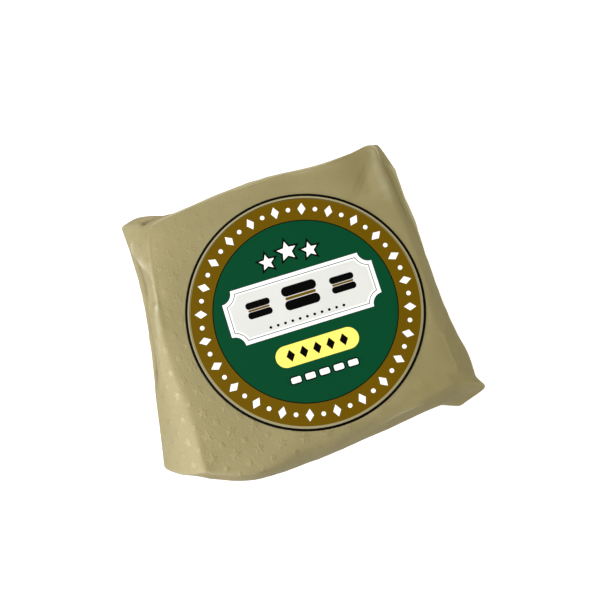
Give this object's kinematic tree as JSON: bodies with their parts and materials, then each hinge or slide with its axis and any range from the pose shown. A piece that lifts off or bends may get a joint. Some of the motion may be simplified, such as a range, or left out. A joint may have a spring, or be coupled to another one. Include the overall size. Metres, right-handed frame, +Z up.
{
  "type": "wrapped alfajor cookie",
  "caption": "Squarish pack of embossed foil paper folded shut round a thick round cookie, with pinched corners and a round paper label on its flat top.",
  "frame": {"origin": "on the surface the pack lies on, under the middle of its bounding box", "axes": "+Z up, out of the labelled top; +X along the pack's front edge to the right; +Y towards its back edge"},
  "size_m": [0.0722, 0.063, 0.021],
  "materials": {
    "foil_paper": "matte pale gold foil over paper, embossed with small stars and dots on a fine diagonal hatch",
    "label_paper": "printed satin paper: brown ring, green disc, white and yellow plaques, thin black rings"
  },
  "bodies": {
    "root": {"wrapper": "foil_paper", "label": "label_paper"}
  },
  "joints": []
}
